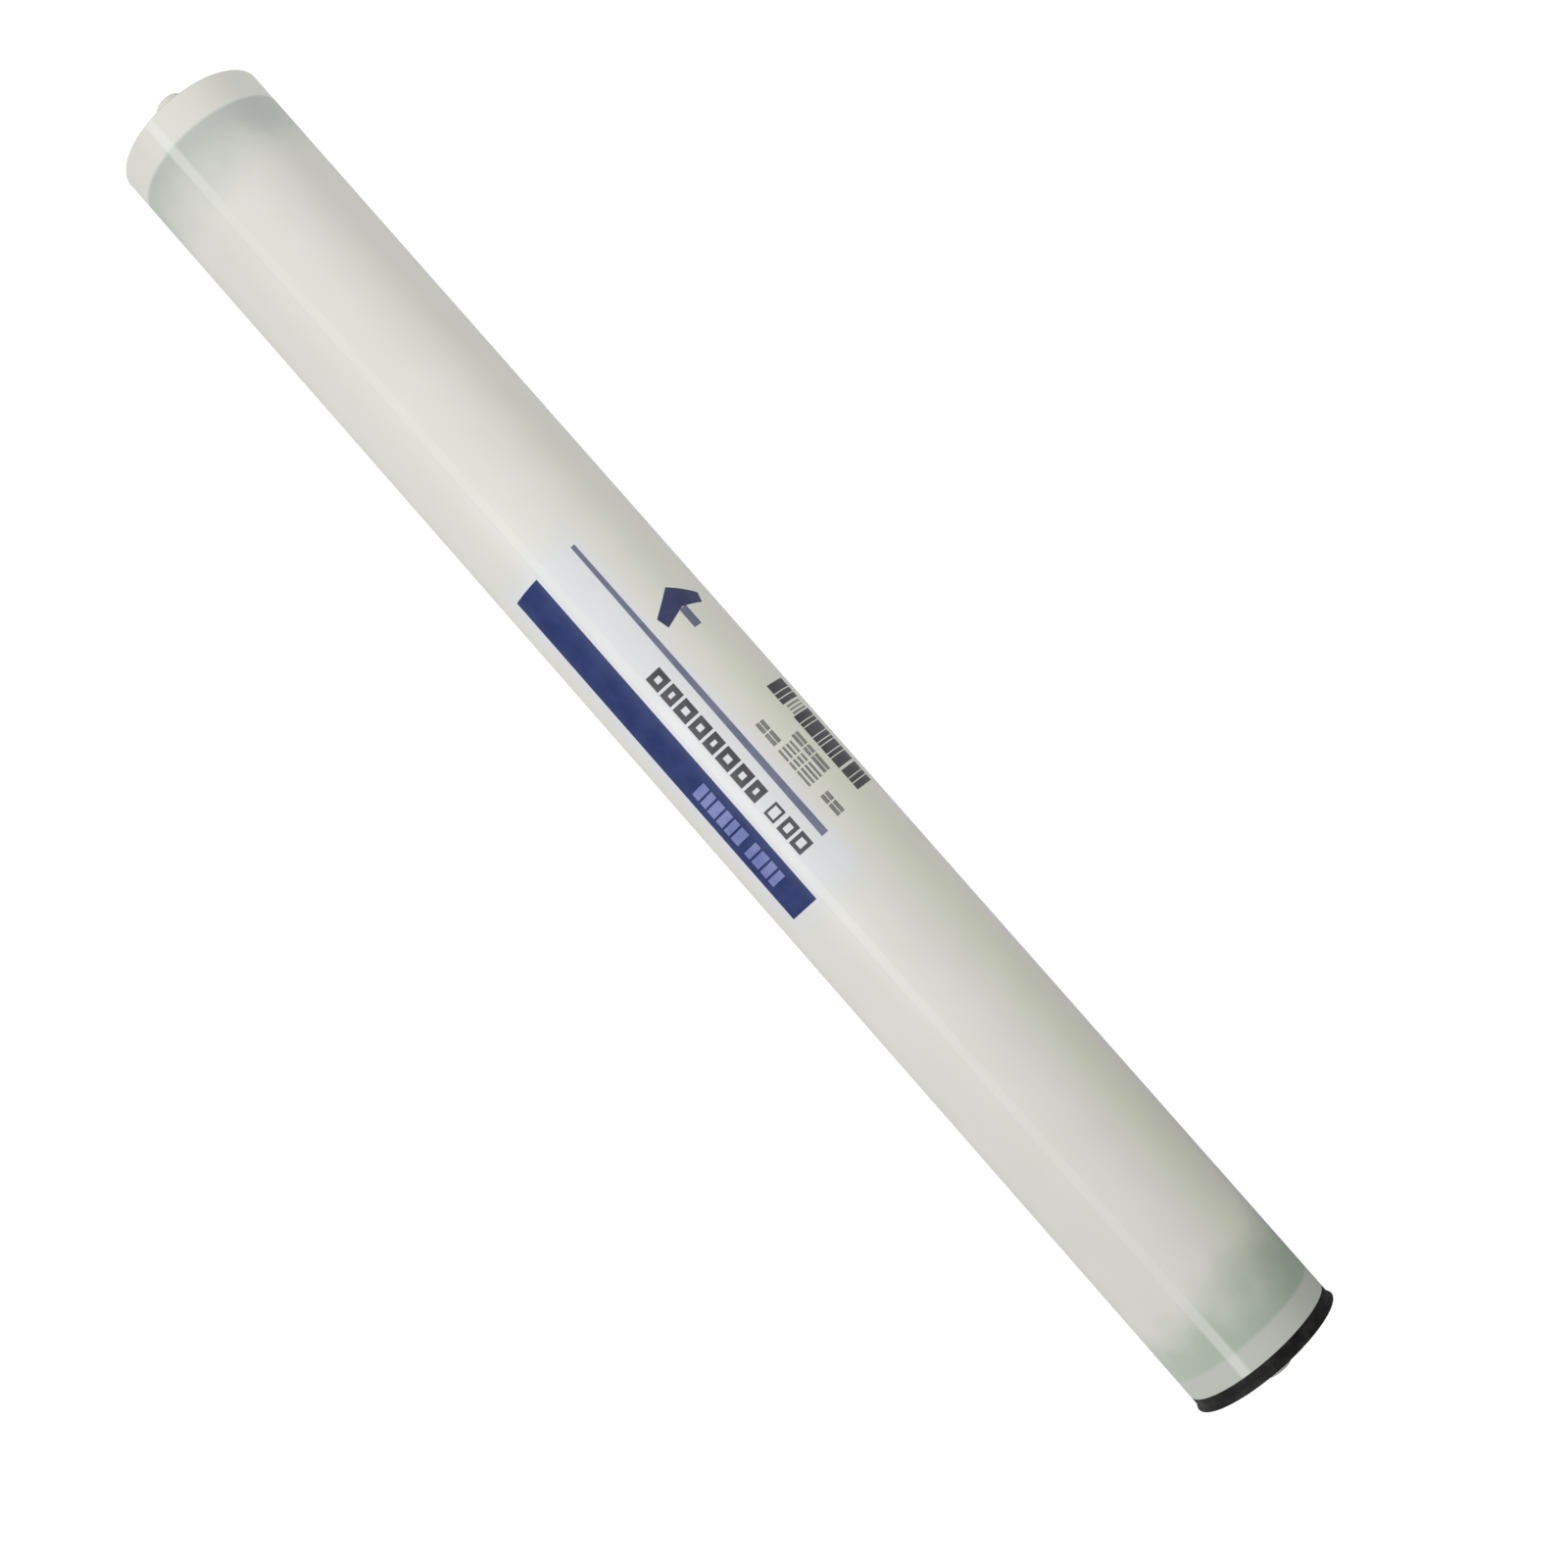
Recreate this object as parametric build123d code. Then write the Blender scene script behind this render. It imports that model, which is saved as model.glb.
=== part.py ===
"""Spiral-wound reverse osmosis element, nominal 4 x 40 inch, lying on its side.

Millimetres. X runs along the element and points out of the feed end, Z is up,
and the origin is on the axis, half way along the permeate tube.
"""

import os
from math import cos, degrees, radians, sin

from build123d import *

# Element as a whole
ELEMENT_LENGTH = 1016.0
ELEMENT_DIAMETER = 101.0
SEAT_GAP = 0.1

# Permeate tube
TUBE_DIAMETER = 19.6
TUBE_BORE = 13.9
STUB_DIAMETER = 19.1
STUB_LENGTH = 26.7
STUB_CHAMFER = 1.0
HOLE_DIAMETER = 3.2
HOLE_STATIONS = 2
HOLE_PITCH = 400.0

# Outer wrap
WRAP_WALL = 1.5
WRAP_CHAMFER = 0.8
LAP_WIDTH = 8.0
LAP_HEIGHT = 0.2
LAP_ANGLE = 109.3

# End caps
FEED_TIP_TO_CAP = 12.0
FAR_TIP_TO_CAP = 23.0
FEED_CAP_DEPTH = 24.0
FAR_CAP_DEPTH = 22.0
FAR_WEB_DEPTH = 9.3
HUB_WALL = 4.6
FAR_RIM_WALL = 4.4
SPOKES = 8
SPOKE_WIDTH = 3.6

# Brine seal and its groove in the feed cap
GROOVE_WIDTH = 7.5
GROOVE_DEPTH = 5.5
GROOVE_FLOOR_WALL = 3.5
KEEPER_DEPTH = 2.0
KEEPER_HEIGHT = 2.5
LIP_OVER_KEEPER = 2.0
LIP_REACH = 1.5
LIP_SETBACK = 1.0
LIP_FLARE = 3.0
SEAL_HEEL_DEPTH = 3.0
SEAL_LEG = 1.6

# Membrane roll: leaves wound from a core winding out to a binding, nets in the channels between
LEAVES = 4
LEAF_ARCS = 4
LEAF_SHARE = 0.64
CORE_WALL = 1.4
BINDING_WALL = 1.5
NET_RECESS = 1.2

# Stations along X
FEED_TIP = ELEMENT_LENGTH / 2
FAR_TIP = -ELEMENT_LENGTH / 2
FEED_FACE = FEED_TIP - FEED_TIP_TO_CAP
FAR_FACE = FAR_TIP + FAR_TIP_TO_CAP
ROLL_FEED_END = FEED_FACE - FEED_CAP_DEPTH
ROLL_FAR_END = FAR_FACE + FAR_CAP_DEPTH
GROOVE_FRONT = FEED_FACE - KEEPER_DEPTH
GROOVE_BACK = GROOVE_FRONT - GROOVE_WIDTH

# Radii
TUBE_RADIUS = TUBE_DIAMETER / 2
TUBE_SEAT_RADIUS = TUBE_RADIUS + SEAT_GAP
HUB_RADIUS = TUBE_SEAT_RADIUS + HUB_WALL
WRAP_RADIUS = ELEMENT_DIAMETER / 2
SEAT_RADIUS = WRAP_RADIUS - WRAP_WALL - SEAT_GAP
GROOVE_RADIUS = WRAP_RADIUS - GROOVE_DEPTH
KEEPER_RADIUS = GROOVE_RADIUS + KEEPER_HEIGHT
FEED_DISH_RADIUS = GROOVE_RADIUS - GROOVE_FLOOR_WALL
FAR_DISH_RADIUS = SEAT_RADIUS - FAR_RIM_WALL

# The leaves grow out of the core winding, and the channels between them run out at the binding
LEAF_ROOT = TUBE_SEAT_RADIUS + CORE_WALL
BINDING_RADIUS = SEAT_RADIUS - BINDING_WALL
LEAF_PITCH = (BINDING_RADIUS - LEAF_ROOT) / (LEAF_ARCS + LEAF_SHARE)
LEAF_THICKNESS = LEAF_PITCH * LEAF_SHARE
CHANNEL_START_RADIUS = LEAF_ROOT + LEAF_PITCH / 2 + LEAF_THICKNESS


def turned(profile):
    """Solid of revolution about X from (x, radius) points."""
    return revolve(make_face(Polyline(*profile, close=True)), Axis.X, 360)


def along(sketch, start, end):
    """Push a sketch drawn in (Y, Z) from one station on the axis to another."""
    return extrude(Plane.YZ.offset(start) * sketch, end - start)


def permeate_tube():
    """Core tube with turned stub ends, drilled from alternate sides where the roll covers it."""
    bore = TUBE_BORE / 2
    stub = STUB_DIAMETER / 2
    half = [
        (FEED_TIP - STUB_LENGTH, TUBE_RADIUS),
        (FEED_TIP - STUB_LENGTH, stub),
        (FEED_TIP - STUB_CHAMFER, stub),
        (FEED_TIP, stub - STUB_CHAMFER),
        (FEED_TIP, bore),
    ]
    tube = turned([(-x, radius) for x, radius in reversed(half)] + half)
    middle = (ROLL_FEED_END + ROLL_FAR_END) / 2
    first = middle - HOLE_PITCH * (HOLE_STATIONS - 1) / 2
    drill = Pos(0, 0, TUBE_RADIUS) * Cylinder(HOLE_DIAMETER / 2, TUBE_DIAMETER)
    for station in range(HOLE_STATIONS):
        tube -= Pos(first + station * HOLE_PITCH, 0, 0) * Rot(X=180 * station) * drill
    return tube


def net_channel(clearance):
    """Spiral channel of one net: arcs about the corners of a small polygon, one pitch further out at each.

    A clearance makes it smaller all round, and it runs out where it meets the binding.
    """
    inner = CHANNEL_START_RADIUS + clearance
    width = LEAF_PITCH - LEAF_THICKNESS - 2 * clearance
    step = 360 / LEAVES
    reach = LEAF_PITCH / (2 * sin(radians(step / 2)))
    walls = ([], [])
    for arc in range(LEAF_ARCS):
        corner = radians(90 + step / 2 + arc * step)
        centre = (reach * cos(corner), reach * sin(corner))
        lead = 0 if arc else degrees(clearance / inner)
        for side, wall in enumerate(walls):
            radius = inner + arc * LEAF_PITCH + side * width
            wall.append(CenterArc(centre, radius, arc * step + lead, step - lead))
    start = Line(*[wall[0] @ 0 for wall in walls])
    end = Line(*[wall[-1] @ 1 for wall in walls])
    strip = make_face(Curve() + [*walls[0], *walls[1], start, end])
    return strip & Circle(BINDING_RADIUS - clearance)


def membrane_roll():
    """Core winding, leaves and binding, bonded into one, with the channels of the nets left open."""
    face = Circle(SEAT_RADIUS) - Circle(TUBE_SEAT_RADIUS)
    for turn in range(LEAVES):
        face -= Rot(Z=turn * 360 / LEAVES) * net_channel(0)
    return along(face, ROLL_FAR_END, ROLL_FEED_END)


def feed_net(turn):
    """One feed spacer net, wound in the channel between two leaves."""
    net = Rot(Z=turn * 360 / LEAVES) * net_channel(SEAT_GAP)
    return along(net, ROLL_FAR_END + NET_RECESS, ROLL_FEED_END - NET_RECESS)


def outer_wrap():
    """Tape-wound shell from the far face to the seal groove, with one lengthwise lap."""
    inner = WRAP_RADIUS - WRAP_WALL
    shell = turned(
        [
            (FAR_FACE, inner),
            (FAR_FACE, WRAP_RADIUS - WRAP_CHAMFER),
            (FAR_FACE + WRAP_CHAMFER, WRAP_RADIUS),
            (GROOVE_BACK, WRAP_RADIUS),
            (GROOVE_BACK, inner),
        ]
    )
    band = Circle(WRAP_RADIUS + LAP_HEIGHT) - Circle(WRAP_RADIUS - WRAP_WALL / 2)
    lap = band & Pos(WRAP_RADIUS, 0) * Rectangle(2 * WRAP_WALL, LAP_WIDTH)
    return shell + along(Rot(Z=LAP_ANGLE) * lap, FAR_FACE + WRAP_CHAMFER, GROOVE_BACK)


def flow_ports(rim):
    """Outlines of the ports between hub, spokes and rim, drawn in (Y, Z)."""
    ports = Circle(rim) - Circle(HUB_RADIUS)
    for number in range(SPOKES):
        spoke = Pos(rim / 2, 0) * Rectangle(rim + SPOKE_WIDTH, SPOKE_WIDTH)
        ports -= Rot(Z=number * 360 / SPOKES) * spoke
    return ports


def feed_end_cap():
    """Cap at the feed end: skirt under the wrap, seal groove, keeper rim and spokes level with the hub."""
    web_end = FEED_TIP - STUB_LENGTH
    blank = turned(
        [
            (ROLL_FEED_END, TUBE_SEAT_RADIUS),
            (ROLL_FEED_END, SEAT_RADIUS),
            (GROOVE_BACK, SEAT_RADIUS),
            (GROOVE_BACK, GROOVE_RADIUS),
            (GROOVE_FRONT, GROOVE_RADIUS),
            (GROOVE_FRONT, KEEPER_RADIUS),
            (FEED_FACE, KEEPER_RADIUS),
            (FEED_FACE, FEED_DISH_RADIUS),
            (web_end, FEED_DISH_RADIUS),
            (web_end, TUBE_SEAT_RADIUS),
        ]
    )
    return blank - along(flow_ports(FEED_DISH_RADIUS), ROLL_FEED_END, web_end)


def concentrate_end_cap():
    """Cap at the far end: skirt under the wrap up to its rim, spokes and a taller hub."""
    web_end = ROLL_FAR_END - FAR_WEB_DEPTH
    hub_end = FAR_TIP + STUB_LENGTH
    blank = turned(
        [
            (ROLL_FAR_END, TUBE_SEAT_RADIUS),
            (ROLL_FAR_END, SEAT_RADIUS),
            (FAR_FACE, SEAT_RADIUS),
            (FAR_FACE, FAR_DISH_RADIUS),
            (web_end, FAR_DISH_RADIUS),
            (web_end, HUB_RADIUS),
            (hub_end, HUB_RADIUS),
            (hub_end, TUBE_SEAT_RADIUS),
        ]
    )
    return blank - along(flow_ports(FAR_DISH_RADIUS), web_end, ROLL_FAR_END)


def brine_seal():
    """Rubber cup seal: heel against the wrap's end, leg in the groove, lip flared out to the vessel."""
    back = GROOVE_BACK + SEAT_GAP
    heel = back + SEAL_HEEL_DEPTH
    seat = GROOVE_RADIUS + SEAT_GAP
    front = GROOVE_FRONT - SEAT_GAP
    tip = FEED_FACE - LIP_SETBACK
    lip_inside = KEEPER_RADIUS + LIP_OVER_KEEPER
    return turned(
        [
            (back, seat),
            (front, seat),
            (front, seat + SEAL_LEG),
            (heel, seat + SEAL_LEG),
            (heel, lip_inside),
            (tip, lip_inside),
            (tip, WRAP_RADIUS + LIP_REACH),
            (tip - LIP_FLARE, WRAP_RADIUS),
            (back, WRAP_RADIUS),
        ]
    )


def pieces():
    """Every solid of the element under its own name."""
    named = {
        "permeate_tube": permeate_tube(),
        "membrane_roll": membrane_roll(),
        "outer_wrap": outer_wrap(),
        "feed_end_cap": feed_end_cap(),
        "concentrate_end_cap": concentrate_end_cap(),
        "brine_seal": brine_seal(),
    }
    for turn in range(LEAVES):
        named[f"feed_net_{turn + 1}"] = feed_net(turn)
    return named


os.makedirs("parts", exist_ok=True)
for name, shape in pieces().items():
    export_step(shape, f"parts/{name}.step")
    box = shape.bounding_box()
    print(f"{name}: {box.size.X:.1f} x {box.size.Y:.1f} x {box.size.Z:.1f} mm")
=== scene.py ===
# %% [markdown]
# # A reverse osmosis element, dressed
# The element is a metre-long roll of membrane in a milky wrap, with a moulded cap at each end,
# a tube through its middle and one black rubber seal. The solids come in as a fixed frame, in
# metres, and this lesson gives them their finish: the zones of the wrap, its print, the rounded
# edges of the mouldings and the fine layers that show between the spokes.

# %% Load the frame
import math

import bpy
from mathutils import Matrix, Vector


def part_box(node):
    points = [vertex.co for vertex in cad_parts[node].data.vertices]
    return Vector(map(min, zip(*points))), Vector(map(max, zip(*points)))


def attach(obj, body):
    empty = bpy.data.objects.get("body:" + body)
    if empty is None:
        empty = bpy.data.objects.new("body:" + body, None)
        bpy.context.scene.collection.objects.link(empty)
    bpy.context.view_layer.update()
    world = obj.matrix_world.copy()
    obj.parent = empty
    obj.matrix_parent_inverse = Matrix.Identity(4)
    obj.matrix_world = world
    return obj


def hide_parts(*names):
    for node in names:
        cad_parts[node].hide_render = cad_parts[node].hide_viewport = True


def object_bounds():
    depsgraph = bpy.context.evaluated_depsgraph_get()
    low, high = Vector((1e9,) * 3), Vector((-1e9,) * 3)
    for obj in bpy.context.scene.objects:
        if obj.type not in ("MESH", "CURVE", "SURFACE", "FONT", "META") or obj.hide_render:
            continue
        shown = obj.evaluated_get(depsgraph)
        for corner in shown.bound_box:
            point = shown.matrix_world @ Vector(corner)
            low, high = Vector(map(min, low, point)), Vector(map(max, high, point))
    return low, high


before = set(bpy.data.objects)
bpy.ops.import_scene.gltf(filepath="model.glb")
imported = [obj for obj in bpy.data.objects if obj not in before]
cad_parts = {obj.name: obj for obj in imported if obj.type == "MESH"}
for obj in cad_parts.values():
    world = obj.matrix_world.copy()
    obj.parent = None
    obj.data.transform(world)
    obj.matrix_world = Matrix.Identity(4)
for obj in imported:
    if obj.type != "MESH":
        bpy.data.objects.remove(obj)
cad_low, cad_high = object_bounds()
bpy.ops.object.select_all(action="DESELECT")
print("solids:", sorted(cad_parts))
print("box in metres:", [round(s, 4) for s in cad_high - cad_low])

# %% [markdown]
# ## Where things are
# X runs along the element and out of the feed end. Everything round is round about X, so a
# place on the wrap is a distance along X and an angle from the top, positive towards +Y.
# The main stations are read from the boxes of the solids, so they can't drift from them.

# %% Stations and radii
MM = 0.001
wrap_low, wrap_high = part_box("outer_wrap")
WRAP_FAR, WRAP_FEED = wrap_low.x, wrap_high.x
WRAP_RADIUS = 50.5 * MM
ROLL_FAR, ROLL_FEED = (corner.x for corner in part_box("membrane_roll"))
LAP_ANGLE = -19.3
LAP_WIDTH = 8 * MM
FLOOR_Z = cad_low.z
print(f"wrap from {WRAP_FAR:.4f} to {WRAP_FEED:.4f}, roll from {ROLL_FAR:.4f} to {ROLL_FEED:.4f}")

# %% [markdown]
# ## Camera
# The photograph looks down on the element from 1.35 metres up, a little past its middle,
# turned so that the feed end points to the lower right. A place, three turns and a field of view
# are all that a camera needs, so they are typed in as plain numbers.

# %% Camera
CAMERA_PLACE = (0.1436, 0.0, 1.3509)
CAMERA_TURNS = (2.952, 2.152, 48.73)
CAMERA_VIEW = 38.29

bpy.ops.object.camera_add(location=CAMERA_PLACE, rotation=[math.radians(turn) for turn in CAMERA_TURNS])
camera = bpy.context.object
camera.data.angle = math.radians(CAMERA_VIEW)
bpy.context.scene.camera = camera
print("camera lens:", round(camera.data.lens, 2), "mm")

# %% [markdown]
# ## Helpers for node trees
# A material here is a tree of small nodes. A few helpers keep the cells short: one adds a node and
# fills its sockets, others do arithmetic, ramps and mixes, and one gives the place on the object
# as separate X, Y and Z. A value that is another node's socket is linked, and any other value is
# typed into the socket.

# %% Node helpers
def add_node(tree, kind, inputs=None, **settings):
    """Add one shader node, set its options, then link or fill its sockets."""
    node = tree.nodes.new("ShaderNode" + kind)
    for option, value in settings.items():
        setattr(node, option, value)
    for socket, value in (inputs or {}).items():
        if isinstance(value, bpy.types.NodeSocket):
            tree.links.new(value, node.inputs[socket])
        else:
            node.inputs[socket].default_value = value
    return node


def compute(tree, operation, first, second=0.0):
    """One step of arithmetic in a node tree."""
    return add_node(tree, "Math", {0: first, 1: second}, operation=operation).outputs[0]


def smooth_step(tree, value, start, end):
    """A mask that goes from 0 at start to 1 at end."""
    sockets = {"Value": value, "From Min": start, "From Max": end}
    return add_node(tree, "MapRange", sockets, interpolation_type="SMOOTHSTEP").outputs["Result"]


def between(tree, value, low, high):
    """A value that goes from low to high as the given one goes from 0 to 1."""
    return add_node(tree, "MapRange", {"Value": value, "To Min": low, "To Max": high}).outputs["Result"]


def mix_colour(tree, mask, below, above):
    """The colour below where the mask is 0 and the colour above where it is 1."""
    return add_node(tree, "Mix", {0: mask, 6: below, 7: above}, data_type="RGBA").outputs[2]


def object_place(tree):
    """The place on the object in metres: the vector, and X, Y and Z apart."""
    place = add_node(tree, "TexCoord").outputs["Object"]
    apart = add_node(tree, "SeparateXYZ", {0: place})
    return place, apart.outputs


def srgb(red, green, blue):
    """A screen colour of 0 to 255 as the linear colour that shaders use."""
    def linear(level):
        level /= 255
        return level / 12.92 if level <= 0.04045 else ((level + 0.055) / 1.055) ** 2.4
    return (linear(red), linear(green), linear(blue), 1)


def new_finish(name, roughness, **constants):
    """A material with one Principled shader, returned with its tree."""
    material = bpy.data.materials.new(name)
    material.use_nodes = True
    shader = material.node_tree.nodes["Principled BSDF"]
    shader.inputs["Roughness"].default_value = roughness
    for socket, value in constants.items():
        shader.inputs[socket.replace("_", " ")].default_value = value
    return material, material.node_tree, shader


print("helpers ready")

# %% [markdown]
# ## Floor and light
# A product shot on white: the floor is a light table that glows a little, so shadows stay faint.
# A large soft lamp hangs high on the left, and a weaker one lower, by the far end on the right.
# The table glows less to the right of the feed end, so that flank grows darker towards it.
# The surround gives the rest. What the camera sees of table and surround is white, by the Light
# Path node, and the Standard view keeps whites white.

# %% Floor
WHITE = (1, 1, 1, 1)
FLOOR_GREY = (0.35, 0.35, 0.35, 1)
FLOOR_SIZE = 14
FLOOR_BOUNCE, FLOOR_BOUNCE_DARK = 0.38, 0.05
FLOOR_SEEN, FLOOR_SEEN_FAR = 0.84, 1.0
WHITER_FROM, WHITER_FULL = 0.7, 2.2
DARK_FROM_X, DARK_FULL_X = 0.2, 0.5
DARK_FROM_Y, DARK_FULL_Y = -0.02, 0.08
DARK_FADE_Y, DARK_END_Y = 0.15, 0.4

bpy.ops.mesh.primitive_plane_add(size=FLOOR_SIZE, location=(0, 0, FLOOR_Z))
floor = bpy.context.object
floor.name = "studio_floor"

floor_paint, floor_tree, floor_shader = new_finish("studio_floor_paint", 0.9, Specular_IOR_Level=0.1)
floor_shader.inputs["Base Color"].default_value = FLOOR_GREY
floor_shader.inputs["Emission Color"].default_value = WHITE
floor.data.materials.append(floor_paint)
print("floor at", round(FLOOR_Z, 4), "m")

# %% Glow of the floor
floor_point, floor_place = object_place(floor_tree)
by_the_feed_end = smooth_step(floor_tree, floor_place["X"], DARK_FROM_X, DARK_FULL_X)
to_the_right = smooth_step(floor_tree, floor_place["Y"], DARK_FROM_Y, DARK_FULL_Y)
close_by = smooth_step(floor_tree, floor_place["Y"], DARK_END_Y, DARK_FADE_Y)
beside_it = compute(floor_tree, "MULTIPLY", to_the_right, close_by)
darker = compute(floor_tree, "MULTIPLY", by_the_feed_end, beside_it)
bounce = between(floor_tree, darker, FLOOR_BOUNCE, FLOOR_BOUNCE_DARK)
distance = add_node(floor_tree, "VectorMath", {0: floor_point}, operation="LENGTH").outputs["Value"]
far_off = smooth_step(floor_tree, distance, WHITER_FROM, WHITER_FULL)
seen_white = between(floor_tree, far_off, FLOOR_SEEN, FLOOR_SEEN_FAR)
looked_at = add_node(floor_tree, "LightPath").outputs["Is Camera Ray"]
floor_tree.links.new(
    between(floor_tree, looked_at, bounce, seen_white), floor_shader.inputs["Emission Strength"]
)
print("floor glow:", FLOOR_BOUNCE, "and seen as", FLOOR_SEEN)

# %% Lamps
def soft_lamp(name, place, aim, size, watts, gloss):
    """A square area lamp at a place, turned to face the aim, with or without a highlight."""
    bpy.ops.object.light_add(type="AREA", location=place)
    lamp = bpy.context.object
    lamp.name = name
    lamp.data.size = size
    lamp.data.energy = watts
    lamp.rotation_euler = (Vector(aim) - Vector(place)).to_track_quat("-Z", "Y").to_euler()
    lamp.visible_glossy = gloss
    print(f"{name}: {watts} W, {size} m wide, at {place}")


soft_lamp("lamp_high_left", (-0.12, -1.3, 1.55), (0, 0, 0), 0.9, 30.5, True)
soft_lamp("lamp_far_right", (-0.5, 1.1, 1.15), (-0.1, 0, 0), 0.7, 11.5, False)

# %% Surround
SURROUND = 0.34

world = bpy.data.worlds.new("white_surround")
bpy.context.scene.world = world
world.use_nodes = True
sky = world.node_tree
background = sky.nodes["Background"]
background.inputs["Color"].default_value = WHITE
sky_seen = add_node(sky, "LightPath").outputs["Is Camera Ray"]
sky.links.new(between(sky, sky_seen, SURROUND, 1.0), background.inputs["Strength"])
bpy.context.scene.view_settings.view_transform = "Standard"
print("surround:", SURROUND)

# %% [markdown]
# ## Shared effects
# Two effects come back on several finishes, so each is a node group, built once. Mottle is the
# slow cloudiness and fine grain that no moulding or film is free of. Dust settles on what faces
# up and gathers in patches. A third group, for the windings of the roll, keeps a long sum out of
# the sheet's own finish: in a spiral of four leaves the radius grows by one pitch in each quarter
# turn, so radius less angle gives a number that goes up by one from a leaf to the next, and its
# fraction tells where in the leaf a point is.

# %% Group helper and the mottle group
def new_group(name, inputs, outputs):
    """An empty node group with named float inputs and outputs."""
    group = bpy.data.node_groups.new(name, "ShaderNodeTree")
    for label, default in inputs.items():
        socket = group.interface.new_socket(label, in_out="INPUT", socket_type="NodeSocketFloat")
        socket.default_value = default
    for label in outputs:
        group.interface.new_socket(label, in_out="OUTPUT", socket_type="NodeSocketFloat")
    entry = group.nodes.new("NodeGroupInput")
    leave = group.nodes.new("NodeGroupOutput")
    return group, entry.outputs, leave.inputs


mottle_group, entry, leave = new_group(
    "mottle", {"Cloud Scale": 20.0, "Grain Scale": 900.0}, ["Cloud", "Grain"]
)
place, _ = object_place(mottle_group)
cloud = add_node(mottle_group, "TexNoise", {"Vector": place, "Scale": entry["Cloud Scale"], "Detail": 3.0})
grain = add_node(mottle_group, "TexNoise", {"Vector": place, "Scale": entry["Grain Scale"], "Detail": 2.0})
mottle_group.links.new(smooth_step(mottle_group, cloud.outputs["Fac"], 0.3, 0.7), leave["Cloud"])
mottle_group.links.new(grain.outputs["Fac"], leave["Grain"])
print("group:", mottle_group.name)

# %% The dust group
dust_group, entry, leave = new_group("dust", {"Patch Scale": 60.0, "Amount": 0.5}, ["Dust"])
place, _ = object_place(dust_group)
facing = add_node(dust_group, "SeparateXYZ", {0: add_node(dust_group, "NewGeometry").outputs["Normal"]})
upward = smooth_step(dust_group, facing.outputs["Z"], -0.2, 0.9)
patches = add_node(dust_group, "TexNoise", {"Vector": place, "Scale": entry["Patch Scale"], "Detail": 6.0})
patchy = smooth_step(dust_group, patches.outputs["Fac"], 0.42, 0.68)
settled = compute(dust_group, "MULTIPLY", compute(dust_group, "MULTIPLY", upward, patchy), entry["Amount"])
dust_group.links.new(settled, leave["Dust"])
print("group:", dust_group.name)

# %% The wound layers group
layers_group, entry, leave = new_group(
    "wound_layers", {"Pitch": 8 * MM, "Start Radius": 11 * MM, "Layers": 5.0}, ["Line", "Shade"]
)
_, apart = object_place(layers_group)
flat = add_node(layers_group, "CombineXYZ", {"Y": apart["Y"], "Z": apart["Z"]})
radius = add_node(layers_group, "VectorMath", {0: flat.outputs[0]}, operation="LENGTH").outputs["Value"]
angle = compute(layers_group, "ARCTAN2", apart["Z"], apart["Y"])
out = compute(layers_group, "SUBTRACT", radius, entry["Start Radius"])
leaves_out = compute(layers_group, "DIVIDE", out, entry["Pitch"])
quarters = compute(layers_group, "DIVIDE", angle, math.pi / 2)
leaf = compute(layers_group, "SUBTRACT", leaves_out, quarters)
layer = compute(layers_group, "MULTIPLY", leaf, entry["Layers"])
within = compute(layers_group, "FRACT", layer)
from_edge = compute(layers_group, "PINGPONG", within, 0.5)
line = smooth_step(layers_group, from_edge, 0.16, 0.02)
shade = add_node(
    layers_group, "TexWhiteNoise", {"W": compute(layers_group, "FLOOR", layer)}, noise_dimensions="1D"
)
layers_group.links.new(line, leave["Line"])
layers_group.links.new(shade.outputs["Value"], leave["Shade"])
print("group:", layers_group.name)

# %% Place a group in a finish
def use_group(tree, group, **inputs):
    """Place a shared effect in a material with its own values."""
    node = tree.nodes.new("ShaderNodeGroup")
    node.node_tree = group
    for socket, value in inputs.items():
        node.inputs[socket.replace("_", " ")].default_value = value
    return node.outputs


def roughen(tree, shader, value, low, high):
    """Let the roughness run from low to high as the value goes from 0 to 1."""
    tree.links.new(between(tree, value, low, high), shader.inputs["Roughness"])


def raise_surface(tree, shader, height, distance, strength=1.0):
    """Turn a height into bumps of that many metres."""
    sockets = {"Height": height, "Distance": distance, "Strength": strength}
    tree.links.new(add_node(tree, "Bump", sockets).outputs["Normal"], shader.inputs["Normal"])


print("group helpers ready")

# %% [markdown]
# ## The milky wrap film
# The wrap is a milky film, so what lies under it shows through: over the cap skirts it looks
# white, next to them the green of the roll shows and fades out in about fifty millimetres, and
# over the lap the double film and a painted highlight make a paler line along the whole element.
# On the right flank a trace of that green comes through towards the feed end. One finish does all
# of it, with masks read from X and from the angle round the axis, so nothing has to be unwrapped.

# %% Colours of the film and where they lie
FILM_BODY = srgb(207, 206, 200)
FILM_CLOUD = srgb(168, 172, 160)
FILM_OVER_FAR_CAP = srgb(208, 208, 201)
FILM_OVER_FEED_CAP = srgb(185, 189, 181)
FILM_OVER_FAR_ROLL = srgb(164, 173, 166)
FILM_OVER_FEED_ROLL = srgb(158, 172, 156)
FILM_FLANK = srgb(212, 214, 198)
# The lap colour is partly the double film and partly a painted highlight along the lap.
FILM_LAP_AND_HIGHLIGHT = srgb(226, 227, 221)
FILM_LABEL = srgb(204, 206, 208)
CAP_EDGE = 1.5 * MM
FLANK_LEFT, FLANK_RIGHT, FLANK_FADE_TURN = 28.0, 62.0, 14.0
FLANK_START, FLANK_FULL = -450 * MM, 250 * MM
GREEN_FADE, GREEN_SLANT, GREEN_RAGGED = 52 * MM, 9 * MM, 14 * MM
GREEN_BEFORE_CAP = 4 * MM
FAR_GREEN, FEED_GREEN, FEED_GREEN_LEAN = 0.75, 0.88, 0.16
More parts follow.
